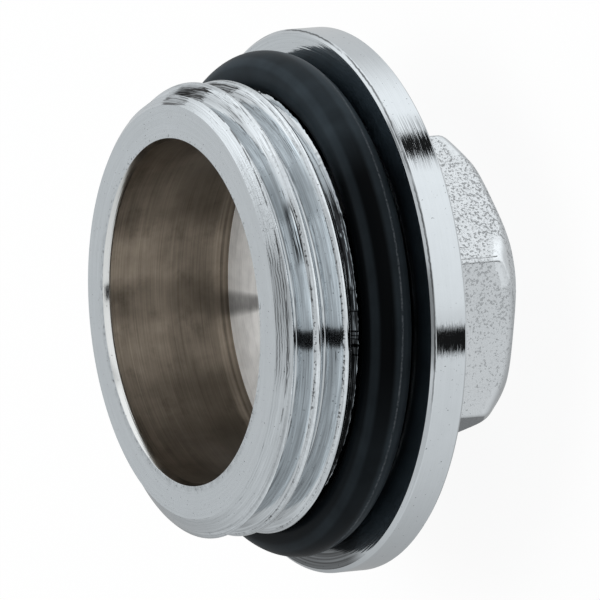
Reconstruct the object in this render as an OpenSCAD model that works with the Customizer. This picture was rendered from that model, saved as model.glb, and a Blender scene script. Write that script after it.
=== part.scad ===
// Manifold blanking plug: one forged and turned brass body, chrome plated, and its rubber O-ring.
// The plug stands on the end of its hexagon head, with the open threaded spigot upwards.
// The origin is the centre of the head's end face, and +Z runs up the plug's axis.

/* [Threaded spigot] */
// Outside diameter over the thread's crests, a 1 inch parallel pipe thread
thread_od = 33.25; // [26:0.05:42]
// Distance from one crest to the next, 11 threads to the inch
thread_pitch = 2.309; // [2:0.001:2.6]
// Half of the angle between the thread's two flanks
flank_angle = 27.5; // [25:0.5:30]
// Share of the sharp triangle's height that the rounded crests and roots each take away
crest_cut_share = 0.1667; // [0.12:0.0001:0.18]
// Angle round the axis at which the crest comes out at the front face
thread_start_angle = 0.5; // [0:0.5:359]
// Length of the spigot from its front face to the neck
spigot_l = 6.25; // [5:0.05:8]
// How much radius the turned lead chamfer takes off at the front face
lead_chamfer_r = 1.5; // [1:0.02:1.9]
// How far down the spigot that chamfer reaches full thread size
lead_chamfer_l = 1.1; // [0.6:0.02:2]

/* [Bore] */
// Thickness of the spigot's wall, from the blind bore to the neck
bore_wall = 2.46; // [1.4:0.01:5]
// Depth of the bore from the front face to its flat bottom
bore_l = 10.26; // [4:0.01:14]
// How much wider than the bore the short turned lead is at its mouth
mouth_flare = 0.1; // [0.05:0.01:0.3]
// Length of that lead
mouth_l = 0.57; // [0.2:0.01:1.5]

/* [Neck and O-ring] */
// How far the plain neck's surface lies below the roots of the thread
neck_drop = 0.15; // [0.05:0.01:0.8]
// Thickness of the O-ring's round section
ring_section = 3.5; // [2.5:0.05:4.5]
// Room between the O-ring and the neck, and between the O-ring and the thread's end
ring_room = 0.07; // [0.03:0.01:0.15]
// Room between the O-ring and the flange
flange_room = 0.44; // [0.03:0.01:2]

/* [Flange] */
// How far the flange stands out from the neck
flange_w = 4.94; // [4:0.02:9]
// Thickness of the flange
flange_t = 2.84; // [2:0.02:6]
// Small bevel round the flange's front edge
front_bevel = 0.28; // [0.1:0.02:0.6]
// Small bevel round the flange's back edge
back_bevel = 0.2; // [0.1:0.02:0.6]

/* [Hexagon head] */
// Distance across the flats
hex_af = 21; // [17:0.5:24]
// Height of the head behind the flange
hex_h = 9.2; // [6:0.05:16]
// Radius of the forged rounding at the head's corners and end edges
hex_round = 1.16; // [0.6:0.02:2]
// How much a 45 degree chamfer takes off each corner at the end face
hex_corner_cut = 1.68; // [0.6:0.02:2.4]

/* [Hidden] */
$fn = 96;
chrome_tone = [0.78, 0.81, 0.83];
rubber_tone = [0.05, 0.05, 0.055];

// Every cut runs this much past what it cuts
overrun = thread_pitch / 20;

// Heights up the axis, counted from the head's end face
hex_top = hex_h;
flange_top = hex_top + flange_t;
neck_top = flange_top + flange_room + ring_section + ring_room;
front_z = neck_top + spigot_l;
bore_bottom = front_z - bore_l;

// Thread form: a sharp triangle whose crests and roots are rounded off alike
major_r = thread_od / 2;
sharp_h = thread_pitch / (2 * tan(flank_angle));
cut_h = sharp_h * crest_cut_share;
round_r = cut_h / (1 / sin(flank_angle) - 1);
root_r = major_r - sharp_h + 2 * cut_h;
arc_half = 90 - flank_angle;

// Radii that follow from the thread
front_face_r = major_r - lead_chamfer_r;
neck_r = root_r - neck_drop;
flange_r = neck_r + flange_w;
bore_r = neck_r - bore_wall;
mouth_r = bore_r + mouth_flare;

// Steps round one turn, along each rounded crest or root, and round the head's small corners
turn_steps = 90;
arc_steps = 4;
corner_steps = 36;

// One pitch of the outline as [height, radius]: over a crest, down the flank, round a root
thread_outline = concat(
    [for (i = [0 : arc_steps]) let (a = arc_half * (2 * i / arc_steps - 1))
        [round_r * sin(a), major_r - round_r * (1 - cos(a))]],
    [for (i = [0 : arc_steps]) let (a = arc_half * (2 * i / arc_steps - 1))
        [thread_pitch / 2 + round_r * sin(a), root_r + round_r * (1 - cos(a))]]
);
rows_a_turn = len(thread_outline);

// Whole turns below and above, so that both ragged ends lie outside the finished spigot
turns_down = ceil((spigot_l + 2 * overrun) / thread_pitch) + 1;
rows = rows_a_turn * (turns_down + 1);
rod_z = front_z - thread_pitch * (thread_start_angle / 360 + turns_down);

// Point of the rod on one row of the outline, at one step round the axis
function rod_point(row, step) =
    let (
        turn = floor(row / rows_a_turn),
        at = thread_outline[row - turn * rows_a_turn],
        angle = 360 * step / turn_steps
    )
    [at[1] * cos(angle), at[1] * sin(angle), rod_z + at[0] + thread_pitch * (turn + step / turn_steps)];

// Place of that point in the list: after a full turn the rows meet those of the next turn
function rod_index(row, step) =
    step == 0 ? row
    : step == turn_steps ? row + rows_a_turn
    : rows + rows_a_turn + 1 + (step - 1) * (rows + 1) + row;

module threaded_rod() {
    low = rows + rows_a_turn + 1 + (turn_steps - 1) * (rows + 1);
    high = low + 1;
    points = concat(
        [for (row = [0 : rows + rows_a_turn]) rod_point(row, 0)],
        [for (step = [1 : turn_steps - 1]) for (row = [0 : rows]) rod_point(row, step)],
        [[0, 0, rod_z], [0, 0, rod_z + thread_pitch * (turns_down + 2)]]
    );
    sides = [for (step = [0 : turn_steps - 1]) for (row = [0 : rows - 1]) for (half = [0, 1])
        half == 0
        ? [rod_index(row, step), rod_index(row + 1, step), rod_index(row + 1, step + 1)]
        : [rod_index(row, step), rod_index(row + 1, step + 1), rod_index(row, step + 1)]];
    low_end = [for (step = [0 : turn_steps - 1]) [low, rod_index(0, step), rod_index(0, step + 1)]];
    high_end = [for (step = [0 : turn_steps - 1]) [high, rod_index(rows, step + 1), rod_index(rows, step)]];
    low_step = [concat([low], [for (row = [rows_a_turn : -1 : 0]) row])];
    high_step = [concat([high], [for (row = [0 : rows_a_turn]) rows + row])];
    polyhedron(points, concat(sides, low_end, high_end, low_step, high_step));
}

// The thread between the neck and the front face, with its turned lead chamfer
module spigot() {
    wide_r = major_r + overrun;
    wide_l = lead_chamfer_l * (wide_r - front_face_r) / lead_chamfer_r;
    intersection() {
        threaded_rod();
        rotate_extrude()
            polygon([
                [0, neck_top],
                [wide_r, neck_top],
                [wide_r, front_z - wide_l],
                [front_face_r, front_z],
                [0, front_z]
            ]);
    }
}

// Neck and flange, turned in one go, with a core that reaches up inside the thread
module neck_and_flange() {
    core_r = (bore_r + neck_r) / 2;
    core_top = neck_top + spigot_l / 4;
    rotate_extrude()
        polygon([
            [0, hex_top],
            [flange_r - back_bevel, hex_top],
            [flange_r, hex_top + back_bevel],
            [flange_r, flange_top - front_bevel],
            [flange_r - front_bevel, flange_top],
            [neck_r, flange_top],
            [neck_r, neck_top],
            [core_r, neck_top],
            [core_r, core_top],
            [0, core_top]
        ]);
}

// One corner of the forged head: a round column whose lower end is rounded over
module corner_column(length) {
    rotate_extrude($fn = corner_steps) {
        intersection() {
            translate([0, hex_round])
                circle(hex_round, $fn = corner_steps);
            square(hex_round);
        }
        translate([0, hex_round])
            square([hex_round, length - hex_round]);
    }
}

// Forged hexagon: six corner columns, hulled, then chamfered across the corners
module hex_head() {
    column_r = (hex_af / 2 - hex_round) / cos(30);
    chamfer_r = column_r + hex_round - hex_corner_cut;
    head_l = hex_h + flange_t / 2;
    intersection() {
        hull()
            for (angle = [0 : 60 : 300])
                rotate(angle)
                    translate([column_r, 0, 0])
                        corner_column(head_l);
        cylinder(r1 = chamfer_r, r2 = chamfer_r + head_l, h = head_l);
    }
}

// Blind bore with a flat bottom and a short lead at its mouth
module bore() {
    translate([0, 0, bore_bottom])
        cylinder(r = bore_r, h = bore_l + overrun);
    translate([0, 0, front_z - mouth_l])
        cylinder(r1 = bore_r, r2 = mouth_r, h = mouth_l);
    translate([0, 0, front_z])
        cylinder(r = mouth_r, h = overrun);
}

module plug_body() {
    color(chrome_tone)
        difference() {
            union() {
                spigot();
                neck_and_flange();
                hex_head();
            }
            bore();
        }
}

// The O-ring hugs the neck and lies against the end of the thread
module o_ring() {
    section_r = ring_section / 2;
    color(rubber_tone)
        translate([0, 0, neck_top - ring_room - section_r])
            rotate_extrude()
                translate([neck_r + ring_room + section_r, 0])
                    circle(section_r);
}

plug_body();
o_ring();
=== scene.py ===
"""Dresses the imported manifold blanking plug: chromed thread, flange and hexagon, satin bore and rubber ring.

Every length is in millimetres until a mesh is made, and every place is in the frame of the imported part:
the plug stands on the end of its hexagon, with its axis along +Z and the open bore upwards.
"""

import logging
import math
from dataclasses import dataclass, field
from enum import Enum
from typing import Any, Sequence

import bpy
import numpy as np
from mathutils import Matrix, Vector


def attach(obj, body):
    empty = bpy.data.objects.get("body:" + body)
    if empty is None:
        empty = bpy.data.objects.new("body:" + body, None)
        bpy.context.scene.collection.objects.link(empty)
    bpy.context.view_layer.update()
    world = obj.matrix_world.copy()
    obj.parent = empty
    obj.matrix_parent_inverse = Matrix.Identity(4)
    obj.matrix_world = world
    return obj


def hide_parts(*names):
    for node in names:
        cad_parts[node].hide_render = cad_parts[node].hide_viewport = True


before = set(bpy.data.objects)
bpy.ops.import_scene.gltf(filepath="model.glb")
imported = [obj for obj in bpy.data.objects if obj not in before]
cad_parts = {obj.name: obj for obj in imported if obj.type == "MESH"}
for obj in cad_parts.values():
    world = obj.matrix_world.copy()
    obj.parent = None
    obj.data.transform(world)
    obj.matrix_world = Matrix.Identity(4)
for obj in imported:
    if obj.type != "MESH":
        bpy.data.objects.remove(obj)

MM = 0.001
POLE_R = 0.4
BODY = "root"
CHROME_TONE = (0.745, 0.79, 0.82)
Array = np.ndarray

log = logging.getLogger("plug")


class Slot(Enum):
    """Material slots of the record."""

    CHROME = "chromed_brass"
    RUBBER = "seal_rubber"


# ---- Small numeric helpers


def smooth(low: float, high: float, value: Array) -> Array:
    """Returns a smooth 0 to 1 step of value between low and high."""
    t = np.clip((np.asarray(value) - low) / (high - low), 0.0, 1.0)
    return t * t * (3.0 - 2.0 * t)


def ring_noise(angles: Array, knots: int, seed: int) -> Array:
    """Returns noise between -1 and 1 that closes round the axis.

    Args:
        angles: angles round the axis in radians.
        knots: number of random values round one turn.
        seed: seed of the random values.

    Returns:
        One value for each angle, joined smoothly between the knots.
    """
    values = np.random.default_rng(seed).uniform(-1.0, 1.0, knots)
    place = (np.asarray(angles) / math.tau % 1.0) * knots
    low = np.floor(place).astype(int) % knots
    t = smooth(0.0, 1.0, place - np.floor(place))
    return values[low] * (1.0 - t) + values[(low + 1) % knots] * t


def sheet_noise(u: Array, v: Array, period: int, rows: int, seed: int) -> Array:
    """Returns two-way noise between -1 and 1 that closes along u.

    Args:
        u: place along the closed way, in cells.
        v: place along the open way, in cells.
        period: number of cells after which u closes.
        rows: number of cells along v.
        seed: seed of the random values.

    Returns:
        One value for each place.
    """
    values = np.random.default_rng(seed).uniform(-1.0, 1.0, (period, rows + 2))
    iu, iv = np.floor(u).astype(int), np.clip(np.floor(v).astype(int), 0, rows)
    tu, tv = smooth(0.0, 1.0, u - iu), smooth(0.0, 1.0, np.clip(v - iv, 0.0, 1.0))
    low, high = iu % period, (iu + 1) % period
    near = values[low, iv] * (1 - tu) + values[high, iv] * tu
    far = values[low, iv + 1] * (1 - tu) + values[high, iv + 1] * tu
    return near * (1 - tv) + far * tv


# ---- Meshes


def add_object(name: str, data: bpy.types.ID | None) -> bpy.types.Object:
    """Makes an object from its data and links it to the scene."""
    made = bpy.data.objects.new(name, data)
    bpy.context.scene.collection.objects.link(made)
    return made


@dataclass
class Profile:
    """A turned outline: radii and heights of its rows, with the outward normal of each row."""

    radius: list[float] = field(default_factory=list)
    height: list[float] = field(default_factory=list)
    normal: list[tuple[float, float]] = field(default_factory=list)
    mark: list[int] = field(default_factory=list)

    def add(self, radius: float, height: float, normal: tuple[float, float], mark: int) -> None:
        """Adds one row."""
        self.radius.append(radius)
        self.height.append(height)
        self.normal.append(normal)
        self.mark.append(mark)

    @classmethod
    def turned(
        cls,
        corners: Sequence[tuple[float, float]],
        rounds: Sequence[float],
        marks: Sequence[int],
        support: float = 0.05,
        steps: int = 4,
    ) -> "Profile":
        """Rounds the corners of an outline and sets a support row beside each round.

        Args:
            corners: (radius, height) of the outline's corners, with the metal on the right hand.
            rounds: radius of the round at each corner, zero at both ends.
            marks: material index of each straight between two corners.
            support: distance from a round to its support row.
            steps: number of faces in each round.

        Returns:
            The outline's rows, from the first corner to the last.
        """
        made = cls()
        points = [Vector(corner) for corner in corners]
        ways = [(b - a).normalized() for a, b in zip(points, points[1:])]
        out = [Vector((-way.y, way.x)) for way in ways]
        made.add(*points[0], tuple(out[0]), marks[0])
        for i in range(1, len(points) - 1):
            before, after = ways[i - 1], ways[i]
            turn = before.angle_signed(after)
            reach = rounds[i] * math.tan(abs(turn) / 2)
            start, end = points[i] - before * reach, points[i] + after * reach
            made.add(*(start - before * support), tuple(out[i - 1]), marks[i - 1])
            side = out[i - 1] * (-1.0 if turn < 0 else 1.0)
            centre = start - side * rounds[i] * (1.0 if turn > 0 else 1.0)
            for step in range(steps + 1):
                share = step / steps
                angle = -turn * share
                normal = Matrix.Rotation(angle, 2) @ out[i - 1]
                spot = centre + (normal if turn > 0 else -normal) * rounds[i]
                made.add(*spot, tuple(normal), marks[i - 1] if share < 0.5 else marks[i])
            made.add(*(end + after * support), tuple(out[i]), marks[i])
        made.add(*points[-1], tuple(out[-1]), marks[-1])
        return made

    def spin(self, angles: Array) -> tuple[Array, Array]:
        """Turns the outline round the axis.

        Args:
            angles: one angle for each column.

        Returns:
            The points and the normals, as rows by columns by 3.
        """
        radius, height = np.array(self.radius)[:, None], np.array(self.height)[:, None]
        flat = np.array(self.normal)
        angle = np.broadcast_to(angles[None, :], (len(flat), len(angles)))
        points = round_axis(radius + 0 * angle, height, angle)
        normals = round_axis(flat[:, 0:1] + 0 * angle, flat[:, 1:2], angle)
        return points, normals


@dataclass
class Skin:
    """A closed skin: rows of points round the axis, with poles at its two ends."""

    points: Array
    marks: Array
    normals: Array | None = None

    def mesh(self, name: str) -> bpy.types.Object:
        """Builds the skin as one Blender object.

        Args:
            name: name of the object.

        Returns:
            The object, linked to the scene.
        """
        rows, columns = self.points.shape[:2]
        low = self.points[0].mean(axis=0, keepdims=True)
        high = self.points[-1].mean(axis=0, keepdims=True)
        vertices = np.concatenate([self.points.reshape(-1, 3), low, high]) * MM
        step = np.arange(columns)
        after = (step + 1) % columns
        faces: list[list[int]] = []
        marks: list[int] = []
        for row in range(rows - 1):
            a, b = row * columns, (row + 1) * columns
            faces += np.stack([a + step, b + step, b + after, a + after], axis=1).tolist()
            marks += [int(self.marks[row])] * columns
        low_pole, high_pole, last = rows * columns, rows * columns + 1, (rows - 1) * columns
        faces += [[low_pole, int(a), int(b)] for a, b in zip(step, after)]
        faces += [[high_pole, int(last + b), int(last + a)] for a, b in zip(step, after)]
        marks += [int(self.marks[0])] * columns + [int(self.marks[-1])] * columns
        mesh = bpy.data.meshes.new(name)
        mesh.from_pydata(vertices.tolist(), [], faces)
        mesh.polygons.foreach_set("material_index", marks)
        mesh.polygons.foreach_set("use_smooth", [True] * len(faces))
        mesh.validate()
        mesh.update()
        if self.normals is not None:
            ends = np.array([self._end_normal(0), self._end_normal(-1)])
            all_normals = np.concatenate([self.normals.reshape(-1, 3), ends])
            free = mesh.attributes.new("custom_normal", "FLOAT_VECTOR", "POINT")
            free.data.foreach_set("vector", all_normals.astype(np.float32).ravel())
            mesh.update()
        return add_object(name, mesh)

    def _end_normal(self, row: int) -> Array:
        """Returns the normal of the pole beside one end row."""
        mean = self.normals[row].mean(axis=0)
        return mean / np.linalg.norm(mean)


def round_axis(radius: Array, height: Array, angles: Array) -> Array:
    """Returns points from radii, heights and angles, in the frame of the plug."""
    return np.stack([radius * np.cos(angles), radius * np.sin(angles), height + 0 * radius], axis=-1)


# ---- Shader maths


class Num:
    """A number in a shader: wraps a socket, and each operator adds its Math node."""

    def __init__(self, tree: "Nodes", socket: bpy.types.NodeSocket) -> None:
        """Wraps one socket of a tree."""
        self.tree = tree
        self.socket = socket

    def math(self, operation: str, *others: "Num | float") -> "Num":
        """Returns this number joined with others by a Math node."""
        return self.tree.math(operation, self, *others)

    def __add__(self, other: "Num | float") -> "Num":
        """Returns the sum."""
        return self.tree.math("ADD", self, other)

    __radd__ = __add__

    def __sub__(self, other: "Num | float") -> "Num":
        """Returns the difference."""
        return self.tree.math("SUBTRACT", self, other)

    def __rsub__(self, other: "Num | float") -> "Num":
        """Returns the reflected difference."""
        return self.tree.math("SUBTRACT", other, self)

    def __mul__(self, other: "Num | float") -> "Num":
        """Returns the product."""
        return self.tree.math("MULTIPLY", self, other)

    __rmul__ = __mul__

    def __truediv__(self, other: "Num | float") -> "Num":
        """Returns the quotient."""
        return self.tree.math("DIVIDE", self, other)

    def step(self, low: float, high: float) -> "Num":
        """Returns a smooth 0 to 1 step between low and high, or 1 to 0 where high is the lower."""
        settings = {"interpolation_type": "SMOOTHSTEP"}
        flip = high < low
        ends = (high, low) if flip else (low, high)
        sockets = {"Value": self, "From Min": ends[0], "From Max": ends[1]}
        made = Num(self.tree, self.tree.node("ShaderNodeMapRange", settings, sockets).outputs[0])
        return 1.0 - made if flip else made

    def near(self, centre: "Num | float", full: float, gone: float) -> "Num":
        """Returns 1 within full of centre, falling to 0 at gone."""
        return (self - centre).math("ABSOLUTE").step(gone, full)

    def clamped(self) -> "Num":
        """Returns the number held between 0 and 1."""
        return self.tree.math("MINIMUM", self.tree.math("MAXIMUM", self, 0.0), 1.0)


class Nodes:
    """Builds the nodes of one material or world."""

    def __init__(self, owner: bpy.types.ID) -> None:
        """Empties the owner's node tree."""
        owner.use_nodes = True
        self.tree = owner.node_tree
        self.tree.nodes.clear()

    def node(
        self,
        kind: str,
        settings: dict[str, Any] | None = None,
        sockets: dict[str | int, Any] | None = None,
    ) -> bpy.types.Node:
        """Adds a node.

        Args:
            kind: Blender's type name of the node.
            settings: attributes of the node, set first.
            sockets: values or links of its inputs, by name or number.

        Returns:
            The new node.
        """
        made = self.tree.nodes.new(kind)
        for key, value in (settings or {}).items():
            setattr(made, key, value)
        for key, value in (sockets or {}).items():
            target = made.inputs[key]
            if isinstance(value, Num):
                value = value.socket
            if isinstance(value, bpy.types.NodeSocket):
                self.tree.links.new(value, target)
            else:
                target.default_value = value
        return made

    def math(self, operation: str, *values: "Num | float") -> Num:
        """Adds a Math node on the values and returns its result."""
        sockets = dict(enumerate(values))
        return Num(self, self.node("ShaderNodeMath", {"operation": operation}, sockets).outputs[0])

    def vector(self, x: "Num | float", y: "Num | float", z: "Num | float") -> bpy.types.NodeSocket:
        """Returns a vector made of three numbers."""
        return self.node("ShaderNodeCombineXYZ", None, {0: x, 1: y, 2: z}).outputs[0]

    def split(self, socket: bpy.types.NodeSocket) -> tuple[Num, Num, Num]:
        """Returns the three numbers of a vector."""
        outputs = self.node("ShaderNodeSeparateXYZ", None, {0: socket}).outputs
        return Num(self, outputs[0]), Num(self, outputs[1]), Num(self, outputs[2])

    def dot(self, socket: bpy.types.NodeSocket, way: Sequence[float]) -> Num:
        """Returns the dot product of a vector and a fixed direction."""
        made = self.node("ShaderNodeVectorMath", {"operation": "DOT_PRODUCT"}, {0: socket, 1: tuple(way)})
        return Num(self, made.outputs["Value"])

    def noise(
        self,
        place: bpy.types.NodeSocket,
        scale: float,
        detail: float = 2.0,
        rough: float = 0.5,
        turn: "Num | float | None" = None,
    ) -> Num:
        """Returns noise around 0.5 at a place, with a fourth coordinate where turn is given."""
        settings = {"noise_dimensions": "3D" if turn is None else "4D"}
        sockets = {"Vector": place, "Scale": scale, "Detail": detail, "Roughness": rough}
        if turn is not None:
            sockets["W"] = turn
        return Num(self, self.node("ShaderNodeTexNoise", settings, sockets).outputs[0])

    def mix(self, share: "Num | float", low: Any, high: Any) -> bpy.types.NodeSocket:
        """Returns a colour between low and high, each a colour or a link."""
        sockets = {0: share}
        for number, value in ((6, low), (7, high)):
            sockets[number] = value if isinstance(value, bpy.types.NodeSocket) else (*value, 1.0)
        return self.node("ShaderNodeMix", {"data_type": "RGBA"}, sockets).outputs[2]

    def bump(self, height: Num, distance: float) -> bpy.types.NodeSocket:
        """Returns a bumped normal; distance is the depth in millimetres of a height of one."""
        sockets = {"Height": height, "Distance": distance * MM, "Strength": 1.0}
        return self.node("ShaderNodeBump", None, sockets).outputs[0]

    def finish(self, surface: bpy.types.NodeSocket, output: str = "ShaderNodeOutputMaterial") -> None:
        """Links a shader to the output."""
        self.node(output, None, {"Surface": surface})


@dataclass(frozen=True)
class Patch:
    """A stretch round the axis: its middle, half its width and its fade, in degrees."""

    middle: float
    half: float
    soft: float


@dataclass
class Place:
    """Where a shading point lies on the plug, in millimetres: height, radius and turn."""

    z: Num
    radius: Num
    cosine: Num
    sine: Num
    turn: Num
    vector: bpy.types.NodeSocket

    @classmethod
    def of(cls, nodes: Nodes) -> "Place":
        """Reads the place from the object's own coordinates."""
        found = nodes.node("ShaderNodeTexCoord").outputs["Object"]
        scaled = nodes.node("ShaderNodeVectorMath", {"operation": "SCALE"}, {0: found, "Scale": 1 / MM})
        vector = scaled.outputs[0]
        x, y, z = nodes.split(vector)
        radius = (x * x + y * y).math("SQRT").math("MAXIMUM", 0.001)
        turn = nodes.math("ARCTAN2", y, x) / math.tau
        return cls(z, radius, x / radius, y / radius, turn, vector)

    def from_crest(self, front_z: float, pitch: float, start_share: float) -> Num:
        """Returns the distance up the axis from the nearest thread crest.

        Args:
            front_z: height of the front face.
            pitch: distance between crests.
            start_share: turn at which a crest comes out at the front face.

        Returns:
            The distance in millimetres, below zero towards the flange.
        """
        away = (self.z - front_z) / pitch - self.turn + start_share
        return (away - away.math("ROUND")) * pitch

    def arc(self, patch: Patch) -> Num:
        """Returns 1 within a patch, fading to 0 at both its sides."""
        centre = math.radians(patch.middle)
        along = self.cosine * math.cos(centre) + self.sine * math.sin(centre)
        gone, full = math.cos(math.radians(patch.half + patch.soft)), math.cos(math.radians(patch.half))
        return along.step(gone, full)

    def grooves(self, nodes: Nodes, pitch: float, length: float, detail: float = 2.0) -> Num:
        """Returns streaks that run round the axis.

        Args:
            nodes: the tree to build in.
            pitch: distance between streaks across their run.
            length: rough length of one streak along its run.
            detail: detail of the noise.

        Returns:
            Noise around 0.5.
        """
        reach = 15.0 / length
        across = 1.0 / pitch
        spot = nodes.vector(self.cosine * reach, self.sine * reach, self.z * across)
        return nodes.noise(spot, 1.0, detail, 0.55, self.radius * across)


@dataclass(frozen=True)
class Metal:
    """What every bare or plated metal finish shares."""

    name: str
    tone: tuple[float, float, float]
    rough: float

    def material(self) -> bpy.types.Material:
        """Makes the material and lets the finish wire it."""
        made = bpy.data.materials.new(self.name)
        made.diffuse_color = (*self.tone, 1.0)
        nodes = Nodes(made)
        place = Place.of(nodes)
        sockets = {"Metallic": 1.0, "Roughness": self.rough, **self.wire(nodes, place)}
        shader = nodes.node("ShaderNodeBsdfPrincipled", None, sockets)
        nodes.finish(shader.outputs[0])
        return made

    def wire(self, nodes: Nodes, place: Place) -> dict[str, Any]:
        """Returns the sockets that the finish drives."""
        return {"Base Color": (*self.tone, 1.0), "Roughness": self.rough}


@dataclass(frozen=True)
class TurnedChrome(Metal):
    """Bright chrome over turned brass, with streaks that run round the axis."""

    groove_pitch: float = 0.07
    groove_depth: float = 0.0006
    groove_run: float = 9.0
    streak: float = 0.05
    speck: float = 0.6

    def wire(self, nodes: Nodes, place: Place) -> dict[str, Any]:
        """Adds streaks, fine grooves, dark specks and soft clouding."""
        fine = place.grooves(nodes, self.groove_pitch, self.groove_run)
        broad = place.grooves(nodes, 0.35, 22.0)
        cloud = nodes.noise(place.vector, 0.9, 3.0)
        specks = nodes.noise(place.vector, 5.5, 1.0).step(0.735, 0.77) * self.speck
        light = 1.0 - self.streak * 2.0 * (fine - 0.5) - self.streak * (broad - 0.5) - 0.06 * (cloud - 0.5)
        light, dark = self.marks_and_painted_shade(nodes, place, light)
        shade = nodes.mix((light / 1.3).clamped(), (0.0, 0.0, 0.0), tuple(value * 1.3 for value in self.tone))
        stained = nodes.mix((specks + dark).clamped(), shade, (0.022, 0.022, 0.023))
        rough = self.rough + 0.08 * (broad - 0.5) + 0.25 * specks + self.dull(nodes, place)
        return {
            "Base Color": stained,
            "Roughness": rough.clamped(),
            "Normal": nodes.bump(self.relief(nodes, place, fine, broad), self.groove_depth),
        }

    def marks_and_painted_shade(self, nodes: Nodes, place: Place, light: Num) -> tuple[Num, "Num | float"]:
        """Returns the brightness and the share of dark marks after this part's own marks, worn places and
        painted shade.
        """
        return light, 0.0

    def dull(self, nodes: Nodes, place: Place) -> "Num | float":
        """Returns the roughness that dull patches add."""
        return 0.0

    def relief(self, nodes: Nodes, place: Place, fine: Num, broad: Num) -> Num:
        """Returns the height of the grooves."""
        return fine * 0.7 + broad * 0.8


@dataclass(frozen=True)
class ThreadChrome(TurnedChrome):
    """Chrome on the cut thread: lap lines, pits and scuffs, with painted shade on its flanks, roots and torn
    end and a painted dark reflection at its top.
    """

    front_z: float = 22.3
    pitch: float = 2.309
    start_share: float = 0.5 / 360
    end_z: float = 15.88
    # How much darker the flanks and roots are painted than the crests: painted shade.
    flank_painted_shade: float = 0.22
    near_side: Patch = Patch(-72.0, 22.0, 10.0)
    low_side: Patch = Patch(-125.0, 18.0, 12.0)
    smear_at: Patch = Patch(-50.5, 4.0, 6.0)
    # Where a dark reflection is painted at the top of the thread and chamfer, with dark streaks beside it on
    # the thread.
    painted_reflection_at: Patch = Patch(15.5, 1.5, 10.0)
    painted_streaks_at: Patch = Patch(0.0, 20.0, 14.0)
    # Stretch of the torn end that is left without painted shade.
    unshaded_at: Patch = Patch(30.0, 64.0, 10.0)
    dull_at: Patch = Patch(-37.5, 6.0, 5.0)

    def marks_and_painted_shade(self, nodes: Nodes, place: Place, light: Num) -> tuple[Num, "Num | float"]:
        """Adds the lap line with its pits, scuffed crests and dark scores, and paints shade on the flanks,
        along the roots and at the torn end and a dark reflection with streaks at the top.
        """
        offset = place.from_crest(self.front_z, self.pitch, self.start_share)
        wander = place.grooves(nodes, 0.6, 2.2)
        broken = place.grooves(nodes, 1.4, 3.0)
        near_side = place.arc(self.near_side)
        low_side = place.arc(self.low_side)
        shown = (broken.step(0.54, 0.62) * 0.4 + near_side * 0.85 + low_side * 0.35).clamped()
        lap = (offset + 0.09 * (wander - 0.5)).near(0.30, 0.008, 0.03) * wander.step(0.42, 0.52)
        chain = nodes.noise(place.vector, 4.4, 1.0).step(0.54, 0.62)
        pits = offset.near(0.27, 0.03, 0.09) * chain
        # Painted shade: a broken dark line along the thread's roots.
        root_shade_line = offset.math("ABSOLUTE").near(1.02, 0.012, 0.04) * wander.step(0.38, 0.5)
        scuff = nodes.noise(place.vector, 3.6, 3.0, 0.65)
        worn = offset.near(0.05, 0.2, 0.32) * (scuff - 0.42).math("MAXIMUM", 0.0) * 1.1
        scores = place.grooves(nodes, 0.10, 3.2)
        smear = place.arc(self.smear_at) * place.z.near(20.05, 0.5, 0.8)
        smear = smear * offset.near(0.48, 0.14, 0.30) * scores.step(0.38, 0.52)
        hairs = place.grooves(nodes, 0.12, 3.0)
        # Painted reflection: a ragged dark patch at the top, with painted dark streaks along the crests beside
        # it.
        top = (place.arc(self.painted_reflection_at) + 3.0 * (hairs - 0.5)).step(0.46, 0.74)
        top = top * offset.math("ABSOLUTE").step(0.22, 0.38) * (0.4 + 0.9 * scores.step(0.44, 0.56))
        painted_streaks = place.arc(self.painted_streaks_at) * offset.near(0.35, 0.25, 0.6) * scores.step(0.57, 0.63)
        unshaded = place.arc(self.unshaded_at)
        # Painted shade: the torn end beside the ring is darkened in streaks.
        tail = place.z.step(self.end_z + 0.85, self.end_z + 0.50) * scores.step(0.66, 0.54) * (1.0 - unshaded)
        tail = tail * place.z.step(self.end_z + 0.01, self.end_z + 0.06)
        lines = (0.7 * lap + 0.75 * pits) * shown + 0.55 * root_shade_line
        dark = lines + 0.95 * smear + 0.97 * top + 0.6 * painted_streaks + 0.45 * worn + 0.96 * tail
        dark = dark.clamped()
        # Painted shade: the flanks and roots are painted darker than the crests.
        flank = offset.math("ABSOLUTE").step(0.40, 0.62)
        return light * (1.0 - self.flank_painted_shade * flank), dark

    def dull(self, nodes: Nodes, place: Place) -> "Num | float":
        """Returns the duller patch across the thread's upper right."""
        return 0.26 * place.arc(self.dull_at)


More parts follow.
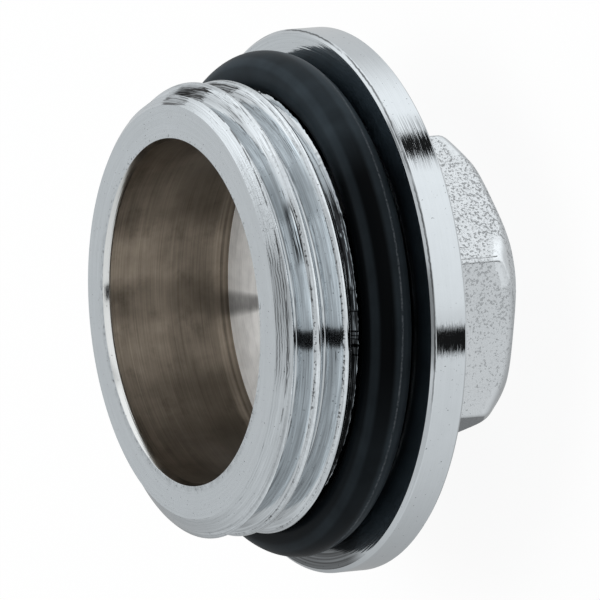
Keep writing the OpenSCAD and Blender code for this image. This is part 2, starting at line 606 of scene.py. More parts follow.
@dataclass(frozen=True)
class ChamferChrome(TurnedChrome):
    """Chrome on the coarsely turned lead chamfer, with ribs whose valleys carry painted shade, a torn, cracked
    patch and a painted dark reflection at the top.
    """

    torn_at: Patch = Patch(-42.0, 13.0, 8.0)
    # The stretch where the ribs' painted shade is strongest and the chamfer is painted dimmer.
    rib_shade_at: Patch = Patch(-71.0, 11.0, 12.0)
    under_at: Patch = Patch(-160.0, 48.0, 20.0)
    painted_reflection_at: Patch = Patch(15.5, 1.0, 9.0)
    coarse_at: Patch = Patch(-71.0, 11.0, 16.0)

    def marks_and_painted_shade(self, nodes: Nodes, place: Place, light: Num) -> tuple[Num, "Num | float"]:
        """Adds painted shade in the ribs' valleys, torn grain, wandering cracks and the painted dark
        reflection at the top.
        """
        ribs = self.ribs(nodes, place)
        torn = place.arc(self.torn_at)
        grain = nodes.noise(place.vector, 13.0, 3.0, 0.7).step(0.52, 0.64)
        crack = nodes.noise(place.vector, 1.7, 3.0, 0.6).near(0.5, 0.003, 0.013)
        low = place.arc(self.rib_shade_at)
        gaps = place.grooves(nodes, 0.4, 3.0).step(0.36, 0.56)
        # Painted shade: dark in the ribs' valleys, strongest on one stretch.
        dark = ribs.step(0.1, 0.8) * gaps * (0.08 + 0.62 * low) + torn * (0.26 * grain + 0.42 * crack)
        edge = place.grooves(nodes, 0.5, 1.6)
        under = place.arc(self.under_at)
        rim = place.radius.near(15.93, 0.025, 0.06) * edge.step(0.42, 0.54) * 0.75 * (1.0 - under)
        hairs = place.grooves(nodes, 0.12, 3.0)
        # Painted reflection: the same ragged dark patch at the top as on the thread.
        top = (place.arc(self.painted_reflection_at) + 3.0 * (hairs - 0.5)).step(0.52, 0.84)
        top = top * (0.3 + 0.8 * place.grooves(nodes, 0.10, 3.2).step(0.44, 0.56))
        # The stretch with the strongest rib shade is also painted dimmer: painted shade.
        return light * (1.0 - 0.12 * low), (dark + rim + 0.75 * top).clamped()

    def ribs(self, nodes: Nodes, place: Place) -> Num:
        """Returns the wave of the coarse turning ribs, between -1 and 1."""
        wobble = nodes.noise(place.vector, 0.8, 2.0) - 0.5
        return ((place.z / 0.115 + 2.0 * wobble) * math.tau).math("SINE")

    def relief(self, nodes: Nodes, place: Place, fine: Num, broad: Num) -> Num:
        """Returns ribs that are coarser than elsewhere."""
        low = place.arc(self.coarse_at)
        coarse = place.grooves(nodes, 0.16, 30.0, 1.0) * (0.4 + low)
        return fine * 0.5 + coarse - 0.3 * self.ribs(nodes, place) * low


@dataclass(frozen=True)
class RimChrome(TurnedChrome):
    """Chrome on the flange's rim, brushed along its run and nicked at its front edge."""

    edge_z: float = 11.84
    bevel_at: Patch = Patch(-74.0, 4.0, 9.0)
    stain_at: Patch = Patch(-36.0, 2.0, 6.0)
    line_at: Patch = Patch(-30.0, 56.0, 12.0)

    def marks_and_painted_shade(self, nodes: Nodes, place: Place, light: Num) -> tuple[Num, "Num | float"]:
        """Adds the dull bevel, the dark, broken line on it and a brown, streaky stain."""
        broken = place.grooves(nodes, 0.8, 2.5)
        nicks = nodes.noise(place.vector, 2.4, 2.0)
        line = (place.z + 0.10 * (nicks - 0.5)).near(self.edge_z, 0.02, 0.07)
        bevel = place.z.step(self.edge_z - 0.08, self.edge_z) * place.arc(self.bevel_at)
        streaks = place.grooves(nodes, 0.06, 3.0).step(0.42, 0.58)
        stain = place.arc(self.stain_at) * streaks * 0.55
        dark = line * (0.35 + broken).step(0.70, 0.90) * place.arc(self.line_at) * 0.8 + stain
        return light * (1.0 - 0.55 * bevel), dark.clamped()


@dataclass(frozen=True)
class FaceChrome(TurnedChrome):
    """Chrome on the flange's front face, with coarse turning and a tarnished stretch."""

    tarnish_at: Patch = Patch(-163.0, 12.0, 12.0)

    def marks_and_painted_shade(self, nodes: Nodes, place: Place, light: Num) -> tuple[Num, "Num | float"]:
        """Adds the streaky tarnish."""
        streaks = place.grooves(nodes, 0.16, 20.0)
        return light, place.arc(self.tarnish_at) * (0.35 + 0.9 * streaks).clamped()


@dataclass(frozen=True)
class LandChrome(TurnedChrome):
    """Chrome on the flat front face, with thin turning scratches and a brown stain beside the bore."""

    bore_edge: float = 12.72
    stain_at: Patch = Patch(170.0, 75.0, 40.0)

    def marks_and_painted_shade(self, nodes: Nodes, place: Place, light: Num) -> tuple[Num, "Num | float"]:
        """Adds the scratches, the stain and dark specks along the bore's edge."""
        scratches = place.grooves(nodes, 0.03, 30.0, 1.0).step(0.62, 0.72)
        cloud = nodes.noise(place.vector, 1.3, 4.0, 0.65)
        beside = place.radius.step(self.bore_edge + 0.75, self.bore_edge)
        stain = beside * (cloud - 0.38).math("MAXIMUM", 0.0) * place.arc(self.stain_at)
        bits = nodes.noise(place.vector, 4.0, 2.0).step(0.60, 0.66) * beside.step(0.35, 0.9)
        return light, (0.07 * scratches + 1.1 * stain + 0.4 * bits).clamped()


@dataclass(frozen=True)
class BlastedChrome(Metal):
    """Chrome over forged and blasted brass, with fine grain and pits darkened by painted shade, and turned
    corner chamfers, one painted brighter as a highlight.
    """

    chamfer_limit: float = 10.265
    corner_r: float = 11.25
    # The upper facet, where the pits' painted shade is darker.
    upper_painted_shading_at: Patch = Patch(-30.0, 29.0, 3.0)
    # The near corner's chamfer, painted brighter as a highlight.
    painted_highlight_at: Patch = Patch(-62.0, 7.0, 4.0)

    def wire(self, nodes: Nodes, place: Place) -> dict[str, Any]:
        """Adds pebbled grain with painted shade in its pits, darker towards the upper facet, leaves the turned
        corner chamfers smooth and paints a highlight on the near one.
        """
        edge = nodes.noise(place.vector, 1.9, 5.0, 0.65)
        on_cone = (place.radius - place.z - self.chamfer_limit + 1.1 * (edge - 0.5)).step(-0.85, -0.75)
        cut = on_cone * (place.radius + 0.4 * (edge - 0.5)).step(self.corner_r - 0.1, self.corner_r)
        rough_skin = 1.0 - cut * 0.9
        grain = nodes.noise(place.vector, 5.4, 2.0, 0.6)
        fine = nodes.noise(place.vector, 12.0, 2.0)
        cloud = nodes.noise(place.vector, 0.55, 2.0)
        # Painted shade: the pits grow denser towards the upper facet.
        pit_shade_towards_top = 0.11 * (place.cosine * 0.866 - place.sine * 0.5 - 0.72)
        pits = (grain + pit_shade_towards_top + 0.10 * (cloud - 0.5)).step(0.53, 0.63)
        upper = place.arc(self.upper_painted_shading_at)
        # Painted shade: the pits and the fine grain are darkened in the colour, more on the upper facet.
        dark = (pits * (0.40 + 0.28 * upper) + (fine - 0.5).math("MAXIMUM", 0.0) * 0.7) * rough_skin
        low = tuple(value * 0.2 for value in self.tone)
        # Painted highlight: the near corner's chamfer is painted brighter than the rest.
        corner_highlight = cut * place.arc(self.painted_highlight_at)
        bare = nodes.mix(corner_highlight, self.tone, tuple(value * 1.17 for value in self.tone))
        base = nodes.mix(dark.clamped(), bare, low)
        rough = self.rough + 0.12 * (cloud - 0.5) + 0.1 * pits - 0.08 * cut
        height = (grain - pits * 0.5 + fine * 0.25) * rough_skin
        return {
            "Base Color": base,
            "Roughness": rough.clamped(),
            "Normal": nodes.bump(height, 0.009),
        }


@dataclass(frozen=True)
class SatinBore(Metal):
    """Dull drilled metal inside the bore, with drill marks round the axis and painted light and shade on its
    wall.
    """

    mark_depth: float = 0.003
    floor_z: float = 12.04
    # Stretches of the wall painted lighter and darker: painted light and shade.
    lit_at: Patch = Patch(106.0, 16.0, 16.0)
    painted_dip_at: Patch = Patch(106.0, 2.0, 7.0)
    painted_side_dip_at: Patch = Patch(174.0, 14.0, 14.0)

    def wire(self, nodes: Nodes, place: Place) -> dict[str, Any]:
        """Adds drill marks, brown bloom, smudges and the ribs near the floor, and paints light and shade on
        the wall: darker deeper down and at two dark stretches, lighter on one side and just above the floor.
        """
        fine = place.grooves(nodes, 0.11, 9.0)
        broad = place.grooves(nodes, 1.1, 5.0)
        bloom = nodes.noise(place.vector, 0.28, 4.0, 0.6)
        smudge = nodes.noise(place.vector, 0.5, 4.0, 0.65).step(0.50, 0.72)
        ribs = place.grooves(nodes, 0.3, 60.0, 0.0)
        near_floor = place.z.step(self.floor_z + 1.8, self.floor_z + 0.7)
        # Painted shade: the wall grows darker deeper down the bore.
        painted_depth_shade = place.z.step(self.floor_z + 9.0, self.floor_z + 2.5)
        lit = place.arc(self.lit_at)
        painted_dips = 0.36 * place.arc(self.painted_dip_at) * (1.0 - 0.5 * painted_depth_shade)
        painted_dips = painted_dips + 0.12 * place.arc(self.painted_side_dip_at)
        # Painted light and shade: darker deeper down and at the dark stretches, lighter on the lit side and
        # just above the floor.
        painted_light_and_shade = 0.60 - 0.39 * painted_depth_shade + lit * (0.36 + 0.08 * painted_depth_shade) - painted_dips + 0.26 * near_floor
        share = 0.50 + 0.5 * (fine - 0.5) + 0.35 * (broad - 0.5) + 0.75 * (bloom - 0.5) - 0.12 * smudge
        share = ((share + 0.9 * near_floor * (ribs - 0.5)) * painted_light_and_shade).clamped()
        dark = (self.tone[0] * 0.09, self.tone[1] * 0.085, self.tone[2] * 0.075)
        light = tuple(value * 1.75 for value in self.tone)
        return {
            "Base Color": nodes.mix(share, dark, light),
            "Roughness": (self.rough + 0.12 * (broad - 0.5)).clamped(),
            "Normal": nodes.bump(fine + 0.5 * broad + 1.5 * near_floor * ribs, self.mark_depth),
        }


@dataclass(frozen=True)
class SatinFloor(Metal):
    """Bright satin floor of the bore, faced by the drill's flat end."""

    # Where a dark reflection wedge is painted across the floor.
    painted_wedge_at: Patch = Patch(109.5, 0.5, 5.0)

    def wire(self, nodes: Nodes, place: Place) -> dict[str, Any]:
        """Adds facing rings, faint stains and a painted dark reflection wedge from the centre."""
        rings = place.grooves(nodes, 0.16, 40.0)
        stain = nodes.noise(place.vector, 0.8, 3.0)
        dark = tuple(value * 0.3 for value in self.tone)
        share = 0.12 + 0.45 * (rings - 0.5) + 0.6 * (stain - 0.5)
        # Painted reflection: a dark wedge from the centre on one side.
        share = (share + 0.85 * place.arc(self.painted_wedge_at)).clamped()
        return {
            "Metallic": 0.35,
            "Base Color": nodes.mix(share, self.tone, dark),
            "Normal": nodes.bump(rings, 0.035),
        }


@dataclass(frozen=True)
class PartingLine:
    """Where the O-ring's parting line runs: it swings round the section once a turn, in radians."""

    middle: float = math.radians(-14.5)
    swing: float = math.radians(12.5)
    start: float = math.radians(-177.0)

    def at(self, around: Array) -> Array:
        """Returns the line's place in the section at each angle round the axis."""
        return self.middle + self.swing * np.cos(around - self.start)


@dataclass(frozen=True)
class MattRubber:
    """Black moulded rubber with faint scuffs and painted pale sheen that varies at random."""

    name: str = "ring_rubber"
    tone: tuple[float, float, float] = (0.0009, 0.0013, 0.0017)
    # The colour of the painted sheen.
    pale: tuple[float, float, float] = (0.030, 0.040, 0.048)
    centre_r: float = 16.8166
    centre_z: float = 14.23
    line: PartingLine = PartingLine()
    # Stretches round the axis that are painted paler as sheen.
    upper_painted_shading_at: Patch = Patch(10.0, 30.0, 22.0)
    under_at: Patch = Patch(-150.0, 30.0, 36.0)

    def material(self) -> bpy.types.Material:
        """Makes the rubber with fine grain, long scuffs, dust on the parting line and painted pale sheen in
        bands round the section and on its upper and lower parts.
        """
        made = bpy.data.materials.new(self.name)
        made.diffuse_color = (*self.tone, 1.0)
        nodes = Nodes(made)
        place = Place.of(nodes)
        grain = nodes.noise(place.vector, 14.0, 3.0, 0.6)
        bloom = nodes.noise(place.vector, 0.45, 3.0)
        scuffs = place.grooves(nodes, 0.12, 6.0).step(0.66, 0.78)
        section = nodes.math("ARCTAN2", place.z - self.centre_z, place.radius - self.centre_r)
        start = self.line.start
        swing = place.cosine * math.cos(start) + place.sine * math.sin(start)
        gap = section - self.line.middle - swing * self.line.swing
        dust = gap.near(0.0, 0.016, 0.07) * nodes.noise(place.vector, 5.0, 4.0, 0.75).step(0.36, 0.64)
        # Painted sheen: two bands round the section and the ring's upper and lower stretches are painted
        # paler.
        side = section.step(math.radians(10.0), math.radians(-6.0))
        front = section.near(math.radians(54.0), math.radians(6.0), math.radians(18.0))
        upper, under = place.arc(self.upper_painted_shading_at), place.arc(self.under_at)
        share = 0.42 * side + 0.26 * front + 0.55 * upper + 0.2 * under
        share = (share * (0.5 + bloom) + 0.04 * (grain - 0.5)).clamped()
        base = nodes.mix(share, self.tone, self.pale)
        marked = nodes.mix((scuffs * 0.10 + dust * 0.8).clamped(), base, (0.09, 0.10, 0.11))
        shader = nodes.node(
            "ShaderNodeBsdfPrincipled",
            None,
            {
                "Base Color": marked,
                "Roughness": (0.36 + 0.2 * (bloom - 0.5) + 0.1 * (grain - 0.5)).clamped(),
                "Specular IOR Level": 0.03,
                "Normal": nodes.bump(grain, 0.002),
            },
        )
        nodes.finish(shader.outputs[0])
        return made


# ---- The plug's pieces


@dataclass
class Spigot:
    """The threaded spigot with its blind bore, land, lead chamfer, torn thread end and neck."""

    thread_od: float = 33.25
    pitch: float = 2.309
    flank_angle: float = 27.5
    crest_cut_share: float = 0.1667
    start_angle: float = 0.5
    front_z: float = 22.3
    neck_top: float = 15.88
    neck_r: float = 14.9966
    neck_foot: float = 11.9
    bore_r: float = 12.5366
    bore_floor: float = 12.04
    mouth_r: float = 12.705
    mouth_l: float = 0.57
    chamfer_r: float = 1.5
    chamfer_l: float = 1.1
    root_round: float = 0.19
    lip_r: float = 15.78
    lip_slope: float = 1.0
    end_rise: float = 0.17
    edge_width: float = 0.006
    mouth_steps: int = 5
    mouth_curve: float = 1.25
    columns: int = 520
    thread_rows: int = 128

    def thread_radius(self, angles: Array, heights: Array) -> Array:
        """Returns the radius of the thread's skin.

        Args:
            angles: angles round the axis in radians.
            heights: heights up the axis.

        Returns:
            The radius at each place, without the lead chamfer.
        """
        flank = math.radians(self.flank_angle)
        sharp = self.pitch / (2 * math.tan(flank))
        cut = sharp * self.crest_cut_share
        arc = cut / (1 / math.sin(flank) - 1)
        crest_r = self.thread_od / 2
        root_r = crest_r - sharp + 2 * cut
        turn = angles / math.tau - self.start_angle / 360
        away = (heights - self.front_z) / self.pitch - turn
        offset = np.abs((away + 0.5) % 1.0 - 0.5) * self.pitch
        arc_end = arc * math.cos(flank)
        from_root = self.pitch / 2 - offset
        slope = 1 / math.tan(flank)
        side = crest_r - arc * (1 - math.sin(flank)) - (offset - arc_end) * slope
        low = root_r - (arc - self.root_round) * (1 / math.sin(flank) - 1)
        hollow = low + self.root_round - np.sqrt(np.maximum(self.root_round**2 - from_root**2, 0.0))
        rolled = (crest_r + root_r) / 2 + (crest_r - root_r) / 2 * np.cos(math.tau * offset / self.pitch)
        root_end = self.root_round * math.cos(flank)
        lower = np.where(from_root < root_end, hollow, side)
        return np.where(offset < self.pitch / 4, rolled, lower)

    def outer_radius(self, angles: Array, heights: Array) -> Array:
        """Returns the thread's radius with the lead chamfer and worn, uneven crests."""
        land_r = self.thread_od / 2 - self.chamfer_r
        down = self.front_z - heights
        cut = land_r + down * self.chamfer_r / self.chamfer_l
        radius = np.maximum(self.thread_radius(angles, heights), land_r - down * 0.6)
        lip = self.lip_r - 0.06 * np.abs(ring_noise(angles, 160, 11))
        lip = lip - 0.02 * np.abs(ring_noise(angles, 390, 13))
        radius = np.maximum(radius, lip - (heights - self.neck_top) * self.lip_slope)
        return np.minimum(radius, cut)

    def torn_edge(self, angles: Array) -> Array:
        """Returns how far the torn end of the thread stands off the neck's end at each angle."""
        coarse = ring_noise(angles, 176, 11)
        fine = ring_noise(angles, 430, 12)
        turned = np.degrees((angles + math.pi) % math.tau - math.pi)
        rise = self.end_rise * smooth(-25.0, 30.0, turned) * smooth(170.0, 120.0, turned)
        return rise + 0.045 * np.abs(coarse) + 0.022 * np.abs(fine)

    def outer_rows(self, angles: Array) -> tuple[Array, Array]:
        """Builds the outside from the front face to the torn end.

        Args:
            angles: one angle for each column.

        Returns:
            The points and the normals, as rows by columns by 3.
        """
        share = np.linspace(0.0, 1.0, self.thread_rows)[:, None]
        base = self.front_z + (self.neck_top - self.front_z) * share
        angle = np.broadcast_to(angles[None, :], (self.thread_rows, len(angles)))
        lift = self.torn_edge(angles)[None, :] * smooth(self.neck_top + 0.45, self.neck_top, base)
        height = base + lift
        radius = self.outer_radius(angle, height)
        slip = 0.004
        up = (self.outer_radius(angle, height + slip) - self.outer_radius(angle, height - slip)) / (2 * slip)
        round_slip = slip / radius
        along = self.outer_radius(angle + round_slip, height) - self.outer_radius(angle - round_slip, height)
        along = along / (2 * slip)
        normal = np.stack(
            [
                np.cos(angle) + along * np.sin(angle),
                np.sin(angle) - along * np.cos(angle),
                -up,
            ],
            axis=-1,
        )
        normal /= np.linalg.norm(normal, axis=-1, keepdims=True)
        return round_axis(radius, height, angle), normal

    def build(self) -> bpy.types.Object:
        """Builds the spigot as one closed skin and dresses it.

        Returns:
            The new object.
        """
        angles = np.arange(self.columns) * math.tau / self.columns
        land_r = self.thread_od / 2 - self.chamfer_r
        shares = [(step + 1) / self.mouth_steps for step in range(self.mouth_steps)]
        flare = self.mouth_r - self.bore_r
        lead = [
            (self.bore_r + flare * share**self.mouth_curve, self.front_z - self.mouth_l * (1 - share))
            for share in shares
        ]
        inside = Profile.turned(
            [
                (POLE_R, self.bore_floor),
                (self.bore_r, self.bore_floor),
                (self.bore_r, self.front_z - self.mouth_l),
                *lead,
                (land_r - 0.01, self.front_z),
            ],
            [0.0, 0.02, 0.01, *[0.3] * (self.mouth_steps - 1), 0.03, 0.0],
            [4, 1, *[2] * self.mouth_steps, 3],
            support=0.02,
        )
        outer, outer_normals = self.outer_rows(angles)
        points, normals = inside.spin(angles)
        step_z = outer[-1, :, 2].mean()
        tail = Profile.turned(
            [(self.neck_r, step_z), (self.neck_r, self.neck_foot), (POLE_R, self.neck_foot)],
            [0.0, 0.02, 0.0],
            [0, 0],
        )
        tail_points, tail_normals = tail.spin(angles)
        edge = outer[-1:].copy()
        edge[..., :2] *= 1.0 - self.edge_width / self.lip_r
        edge_normals = np.zeros_like(edge)
        edge_normals[..., 2] = -1.0
        all_points = np.concatenate([points, outer, edge, tail_points])
        all_normals = np.concatenate([normals, outer_normals, edge_normals, tail_normals])
        heights = self.front_z - np.arange(len(outer)) * (self.front_z - self.neck_top) / (len(outer) - 1)
        on_chamfer = (heights > self.front_z - self.chamfer_l * 0.62).astype(int) * 5
        marks = np.array(inside.mark + on_chamfer.tolist() + [0] + tail.mark)
        piece = Skin(all_points, marks, all_normals).mesh("plug_spigot")
        for finish in self.finishes():
            piece.data.materials.append(finish.material())
        return piece

    def finishes(self) -> list[Metal]:
        """Returns the spigot's finishes in the order of its material indices."""
        return [
            ThreadChrome("thread_chrome", CHROME_TONE, 0.07, 0.12, 0.006, 6.0, 0.6, 0.8),
            SatinBore("bore_satin", (0.43, 0.37, 0.305), 0.36),
            TurnedChrome("mouth_chrome", (0.76, 0.77, 0.76), 0.12, 0.07, 0.002, 4.0),
            LandChrome("land_chrome", CHROME_TONE, 0.25, 0.16, 0.001, 6.0, 0.08),
            SatinFloor("bore_floor_satin", (0.97, 0.96, 0.94), 0.78),
            ChamferChrome("chamfer_chrome", CHROME_TONE, 0.18, 0.10, 0.005, 6.0, 0.22),
        ]


@dataclass
class Flange:
    """The round flange with its polished rim, bevelled edges and mirror face."""

    radius: float = 19.9366
    back_z: float = 9.2
    front_z: float = 12.04
    front_bevel: float = 0.28
    back_bevel: float = 0.2
    hidden_r: float = 14.6
    hidden_z: float = 11.8
    columns: int = 720

    def build(self) -> bpy.types.Object:
        """Builds the flange as one closed skin and dresses it."""
        angles = np.arange(self.columns) * math.tau / self.columns
        profile = Profile.turned(
            [
                (POLE_R, self.hidden_z),
                (self.hidden_r - 0.2, self.hidden_z),
                (self.hidden_r, self.front_z),
                (self.radius - self.front_bevel, self.front_z),
                (self.radius, self.front_z - self.front_bevel),
                (self.radius, self.back_z + self.back_bevel),
                (self.radius - self.back_bevel, self.back_z),
                (POLE_R, self.back_z),
            ],
            [0.0, 0.02, 0.02, 0.06, 0.10, 0.06, 0.06, 0.0],
            [0, 0, 0, 1, 1, 0, 0],
        )
        points, normals = profile.spin(angles)
        piece = Skin(points, np.array(profile.mark), normals).mesh("plug_flange")
        face = FaceChrome("flange_face_chrome", CHROME_TONE, 0.08, 0.14, 0.016, 9.0, 0.06)
        piece.data.materials.append(face.material())
        rim = RimChrome("flange_rim_chrome", (0.695, 0.735, 0.762), 0.05, 0.09, 0.012, 2.6, 0.04)
        piece.data.materials.append(rim.material())
        return piece


@dataclass
class HexagonHead:
    """The forged hexagon with rounded corners, rolled end edge and chamfered corners."""

    across_flats: float = 21.0
    height: float = 10.4
    corner_round: float = 0.45
    end_round: float = 0.95
    chamfer_limit: float = 10.265
    chamfer_blend: float = 0.5
    grain: float = 0.010
    columns: int = 720
    side_rows: int = 100
    end_rows: int = 26

    def outline(self, share: Array) -> tuple[Array, Array]:
        """Walks round the hexagon's core.

        Args:
            share: place round the outline, 0 to 1.

        Returns:
            The core's points and the outward directions there, as n by 2.
        """
        core_r = side = (self.across_flats / 2 - self.corner_round) / math.cos(math.pi / 6)
        arc = self.corner_round * math.pi / 3
        sector = (share * 6) % 1.0 * (side + arc)
        corner = np.floor(share * 6) % 6 * (math.pi / 3)
        on_arc = sector < arc
        swing = np.where(on_arc, (sector / arc - 0.5) * math.pi / 3, math.pi / 6)
        along = np.where(on_arc, 0.0, sector - arc)
        angle = corner + swing
        way = corner + math.pi / 6 + math.pi / 2
        start = np.stack([core_r * np.cos(corner), core_r * np.sin(corner)], axis=-1)
        core = start + along[:, None] * np.stack([np.cos(way), np.sin(way)], axis=-1)
        return core, np.stack([np.cos(angle), np.sin(angle)], axis=-1)

    def build(self) -> bpy.types.Object:
        """Builds the head as one closed skin and dresses it.

        Returns:
            The new object.
        """
        share = np.arange(self.columns) / self.columns
        core, out = self.outline(share)
        swing = np.linspace(0, math.pi / 2, 14)
        rolled = self.end_round * (1 - np.cos(swing))
        straight = np.linspace(self.end_round, self.height, self.side_rows - 13)[1:]
        heights = np.concatenate([rolled, straight])[::-1]
        inset = self.end_round - np.sqrt(self.end_round**2 - np.maximum(self.end_round - heights, 0) ** 2)
        cells = self.columns // 2
        walk = share * cells
        rows = []
        for height, drawn in zip(heights, inset):
            flat = (core + out * self.corner_round) * (1 - drawn / (self.across_flats / 2))
            radius = np.linalg.norm(flat, axis=1)
            cone = self.chamfer_limit + height
            over = np.clip(0.5 + (radius - cone) / (2 * self.chamfer_blend), 0.0, 1.0)
            kept = radius * (1 - over) + cone * over - self.chamfer_blend * over * (1 - over)
            flat = flat * (kept / radius)[:, None]
            noise = sheet_noise(walk, np.full_like(walk, height / 0.18), cells, 64, 21)
            finer = sheet_noise(walk * 2, np.full_like(walk, height / 0.1), cells * 2, 110, 22)
            noise = noise * 0.7 + 0.5 * finer
            fade = float(smooth(0.0, 0.5, height))
            flat = flat - out * (self.grain * fade * np.maximum(noise, 0.0))[:, None]
            rows.append(np.column_stack([flat, np.full(self.columns, height)]))
        end = rows[-1]
        for step in range(1, self.end_rows):
            scale = 1 - step / self.end_rows
            rows.append(end * [scale, scale, 1.0])
        points = np.array(rows)
        piece = Skin(points, np.zeros(len(points), int)).mesh("plug_head")
        piece.data.materials.append(BlastedChrome("head_chrome", (0.72, 0.75, 0.77), 0.22).material())
        return piece


@dataclass
class SealRing:
    """The rubber O-ring, with the faint parting line of its mould."""

    centre_r: float = 16.8166
    centre_z: float = 14.23
    section_r: float = 1.75
    ridge: float = 0.02
    ridge_width: float = 0.035
    sag: float = 0.115
    sag_at: float = math.radians(-20.0)
    columns: int = 512
    section_steps: int = 144

    def build(self) -> bpy.types.Object:
        """Builds the ring as a closed tube and dresses it."""
        around = np.arange(self.columns) * math.tau / self.columns
        section = np.arange(self.section_steps) * math.tau / self.section_steps
        gap = (section[None, :] - PartingLine().at(around)[:, None] + math.pi) % math.tau - math.pi
        reach = self.section_r - self.ridge * (1.0 - np.exp(-((gap / self.ridge_width) ** 2)))
        radius = self.centre_r + reach * np.cos(section)[None, :]
        lower_half = (section > math.pi)[None, :]
        drop = 1.0 + self.sag * (0.5 + 0.5 * np.cos(around - self.sag_at))[:, None] * lower_half
        height = self.centre_z + reach * np.sin(section)[None, :] * drop
        angle = around[:, None] + 0 * radius
        points = round_axis(radius, height, angle).reshape(-1, 3) * MM
        faces = []
        steps = np.arange(self.section_steps)
        after = (steps + 1) % self.section_steps
        for i in range(self.columns):
            a, b = i * self.section_steps, (i + 1) % self.columns * self.section_steps
            faces += np.stack([a + steps, b + steps, b + after, a + after], axis=1).tolist()
        mesh = bpy.data.meshes.new("sealing_ring")
        mesh.from_pydata(points.tolist(), [], faces)
        mesh.polygons.foreach_set("use_smooth", [True] * len(faces))
        mesh.update()
        piece = add_object("sealing_ring", mesh)
        piece.data.materials.append(MattRubber().material())
        return piece


# ---- Studio


@dataclass(frozen=True)
class Card:
    """A light or dark card round the plug, placed by angles from the camera's side, in degrees."""

    azimuth: float
    elevation: float
    half_width: float
    half_height: float
    soft: float
    level: float

    def over(
        self,
        nodes: Nodes,
        way: bpy.types.NodeSocket,
        below: Num,
        axes: tuple[Vector, Vector, Vector],
    ) -> Num:
        """Lays the card over what is behind it.

        Args:
            nodes: the world's tree.
            way: the direction looked at.
            below: brightness without the card.
            axes: the directions right, up and back towards the camera.

        Returns:
            The brightness with the card.
        """
        right, up, back = axes
        turn, rise = math.radians(self.azimuth), math.radians(self.elevation)
        flat = back * math.cos(turn) + right * math.sin(turn)
        centre = flat * math.cos(rise) + up * math.sin(rise)
        across = right * math.cos(turn) - back * math.sin(turn)
        above = up * math.cos(rise) - flat * math.sin(rise)
        mask: Num | float = nodes.dot(way, centre).step(0.05, 0.15)
        for axis, half in ((across, self.half_width), (above, self.half_height)):
            full, gone = math.sin(math.radians(half)), math.sin(math.radians(half + self.soft))
            mask = mask * nodes.dot(way, axis).near(0.0, full, gone)
        return below + mask * (self.level - below)


CARDS = (
    Card(azimuth=-30, elevation=8, half_width=29, half_height=30, soft=12, level=0.62),
    Card(azimuth=-57, elevation=-5, half_width=10, half_height=11, soft=6, level=0.42),
    Card(azimuth=-80, elevation=-36, half_width=28, half_height=16, soft=10, level=0.56),
    Card(azimuth=40, elevation=-15.6, half_width=22, half_height=4.6, soft=0.6, level=0.01),
    Card(azimuth=70, elevation=-12.2, half_width=10, half_height=3.9, soft=0.7, level=0.01),
    Card(azimuth=76, elevation=58, half_width=6, half_height=3.6, soft=1.5, level=0.02),
    Card(azimuth=-132, elevation=17, half_width=4, half_height=2.5, soft=3, level=0.2),
)


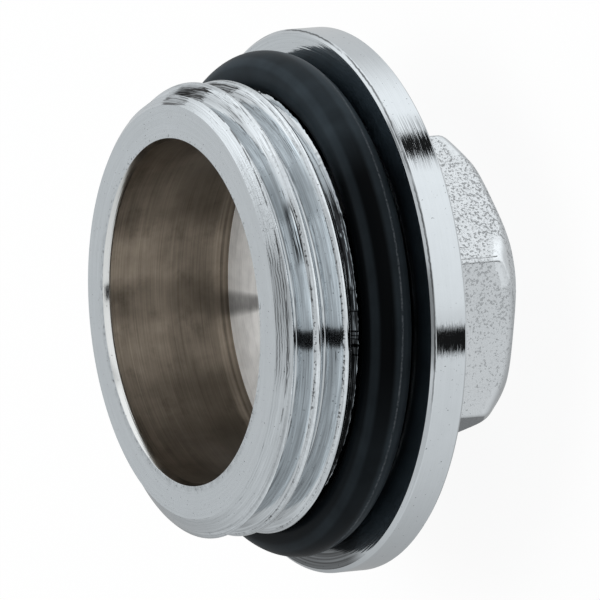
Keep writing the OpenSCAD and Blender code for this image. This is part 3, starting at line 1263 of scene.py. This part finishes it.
@dataclass
class Studio:
    """Floor, soft lamp, surroundings and camera."""

    floor_size: float = 5.0
    floor_glow: float = 0.92
    lens: float = 840.0
    sensor: float = 36.0
    near_clip: float = 0.05
    far_clip: float = 20.0
    aim: tuple[float, float, float] = (0.0, 0.0, 22.3)
    shift: tuple[float, float, float] = (8.725, 0.855, 1018.182)
    lamp_size: float = 0.5
    lamp_power: float = 1.6
    lamp_spot: tuple[float, float, float] = (0.15, 0.1, 0.6)
    right: Vector = field(default_factory=lambda: Vector((0.0814, -0.4508, -0.8890)))
    up: Vector = field(default_factory=lambda: Vector((0.9440, 0.3210, -0.0762)))
    back: Vector = field(default_factory=lambda: Vector((0.3197, -0.8330, 0.4517)))

    def floor(self) -> bpy.types.Object:
        """Lays the pale floor that the plug stands on."""
        half = self.floor_size / 2
        mesh = bpy.data.meshes.new("floor")
        corners = [(-half, -half, 0), (half, -half, 0), (half, half, 0), (-half, half, 0)]
        mesh.from_pydata(corners, [], [(0, 1, 2, 3)])
        piece = add_object("floor", mesh)
        paint = bpy.data.materials.new("floor_paint")
        nodes = Nodes(paint)
        ray = nodes.node("ShaderNodeLightPath")
        seen = Num(nodes, ray.outputs["Is Camera Ray"]) + Num(nodes, ray.outputs["Is Transmission Ray"])
        lit = nodes.node("ShaderNodeBsdfDiffuse", None, {"Color": (0.9, 0.9, 0.9, 1.0)})
        glow = nodes.node("ShaderNodeEmission", None, {"Strength": 1.0})
        sockets = {0: seen * self.floor_glow, 1: lit.outputs[0], 2: glow.outputs[0]}
        both = nodes.node("ShaderNodeMixShader", None, sockets)
        nodes.finish(both.outputs[0])
        piece.data.materials.append(paint)
        piece.visible_glossy = False
        return piece

    def surroundings(self) -> None:
        """Makes the bright studio with a grey lower half and the cards that the chrome mirrors."""
        world = bpy.data.worlds.new("studio")
        bpy.context.scene.world = world
        nodes = Nodes(world)
        way = nodes.node("ShaderNodeTexCoord").outputs["Generated"]
        front, side, high = (nodes.dot(way, axis) for axis in (self.back, self.right, self.up))
        low = 0.66 + 0.17 * front.math("MAXIMUM", 0.0) + 0.30 * front.math("MINIMUM", 0.0)
        behind = front.step(-0.20, -0.70)
        top = (0.88 + 0.2 * high.math("MAXIMUM", 0.0)) * (1.0 - 0.37 * behind)
        half = high.step(-0.14, 0.0)
        level = low * (1.0 - half) + top * half
        for card in CARDS:
            level = card.over(nodes, way, level, (self.right, self.up, self.back))
        ray = nodes.node("ShaderNodeLightPath")
        mirrored = nodes.vector(level * 1.035, level * 1.05, level * 1.06)
        shown = nodes.mix(Num(nodes, ray.outputs["Is Camera Ray"]), mirrored, (1.0, 1.0, 1.0))
        backdrop = nodes.node("ShaderNodeBackground", None, {"Color": shown, "Strength": 1.0})
        nodes.finish(backdrop.outputs[0], "ShaderNodeOutputWorld")

    def flag(self) -> None:
        """Lays a painted floor shadow beside the head: a dark grey glowing sheet that only mirrors see,
        standing for the floor's shade under the flange.
        """
        mesh = bpy.data.meshes.new("painted_floor_shadow")
        corners = [(-26, -8, 0.2), (-8, -8, 0.2), (-8, 14, 0.2), (-26, 14, 0.2)]
        mesh.from_pydata([[value * MM for value in corner] for corner in corners], [], [(0, 1, 2, 3)])
        piece = add_object("painted_floor_shadow", mesh)
        shadow_paint = bpy.data.materials.new("painted_floor_shadow_paint")
        nodes = Nodes(shadow_paint)
        # Painted shadow: the sheet glows dark grey and hides from the camera, diffuse rays and shadows.
        glow = nodes.node("ShaderNodeEmission", None, {"Color": (0.2, 0.205, 0.21, 1.0), "Strength": 1.0})
        nodes.finish(glow.outputs[0])
        piece.data.materials.append(shadow_paint)
        piece.visible_camera = piece.visible_diffuse = piece.visible_shadow = False

    def lamp(self) -> None:
        """Hangs one broad soft lamp above the plug."""
        light = bpy.data.lights.new("soft_lamp", "AREA")
        light.shape = "DISK"
        light.size = self.lamp_size
        light.energy = self.lamp_power
        lamp = add_object("soft_lamp", light)
        lamp.location = self.lamp_spot
        lamp.rotation_euler = (-lamp.location).to_track_quat("-Z", "Y").to_euler()
        lamp.visible_glossy = False

    def camera(self) -> None:
        """Sets the camera at the viewing angle, with a long lens."""
        data = bpy.data.cameras.new("camera")
        data.lens = self.lens
        data.sensor_width = self.sensor
        data.clip_start = self.near_clip
        data.clip_end = self.far_clip
        camera = add_object("camera", data)
        axes = (self.right, self.up, self.back)
        spot = sum((axis * reach for axis, reach in zip(axes, self.shift)), Vector(self.aim))
        turn = Matrix(axes).transposed().to_4x4()
        camera.matrix_world = Matrix.Translation(spot * MM) @ turn
        bpy.context.scene.camera = camera


def carry(piece: bpy.types.Object, slot: Slot, node: str) -> None:
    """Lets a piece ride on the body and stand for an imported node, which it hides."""
    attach(piece, BODY)
    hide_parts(node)
    log.info("%s: %d faces, stands for %s", piece.name, len(piece.data.polygons), node)


def main() -> None:
    """Builds the studio and the plug."""
    logging.basicConfig(level=logging.INFO, format="%(message)s")
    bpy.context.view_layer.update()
    studio = Studio()
    studio.camera()
    studio.floor()
    studio.flag()
    studio.surroundings()
    studio.lamp()
    bpy.context.scene.view_settings.view_transform = "Standard"
    for sub_assembly in (Spigot(), Flange(), HexagonHead()):
        carry(sub_assembly.build(), Slot.CHROME, "plug_body")
    carry(SealRing().build(), Slot.RUBBER, "o_ring")


if __name__ == "__main__":
    main()
